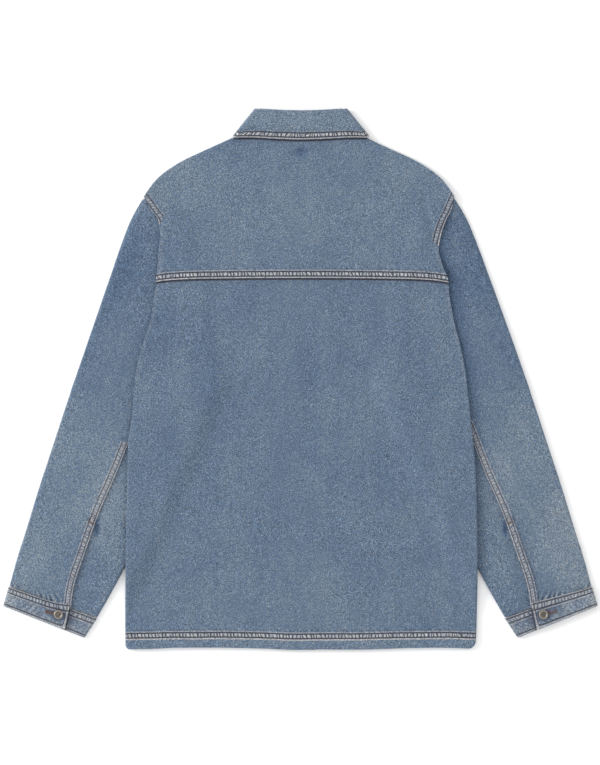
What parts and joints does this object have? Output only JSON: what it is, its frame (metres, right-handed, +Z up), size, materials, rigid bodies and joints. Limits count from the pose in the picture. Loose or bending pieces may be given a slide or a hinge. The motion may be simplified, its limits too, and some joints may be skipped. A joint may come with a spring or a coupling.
{
  "type": "denim jacket",
  "caption": "Boxy shirt-collared denim jacket laid flat face down, back up, with yoke, turned hem, set-in sleeves spread down beside the body, and cuffs with shank buttons.",
  "frame": {"origin": "bottom centre of the bounding box, on the surface that the jacket lies on", "axes": "+X towards the wearer's right sleeve, +Y from the hem towards the collar, +Z up, out of the jacket's back"},
  "size_m": [0.8625, 0.7852, 0.0126],
  "materials": {
    "denim_body": "washed indigo twill, matt",
    "denim_sleeve": "washed indigo twill, matt, worn pale along its seams",
    "denim_trim": "washed indigo twill, two plies, matt, roped along its seams",
    "button_metal": "antique plated, worn"
  },
  "bodies": {
    "root": {"back_panel": "denim_body", "back_yoke": "denim_body", "front_left": "denim_body", "front_right": "denim_body", "front_band": "denim_trim", "front_button_1": "button_metal", "front_button_2": "button_metal", "front_button_3": "button_metal", "front_button_4": "button_metal", "front_button_5": "button_metal", "front_button_6": "button_metal", "collar_leaf": "denim_trim", "collar_stand": "denim_trim", "sleeve_left_main": "denim_sleeve", "sleeve_left_under": "denim_sleeve", "sleeve_right_main": "denim_sleeve", "sleeve_right_under": "denim_sleeve", "placket_left": "denim_sleeve", "placket_right": "denim_sleeve", "cuff_left": "denim_trim", "cuff_right": "denim_trim", "cuff_button_left": "button_metal", "cuff_button_right": "button_metal"}
  },
  "joints": []
}
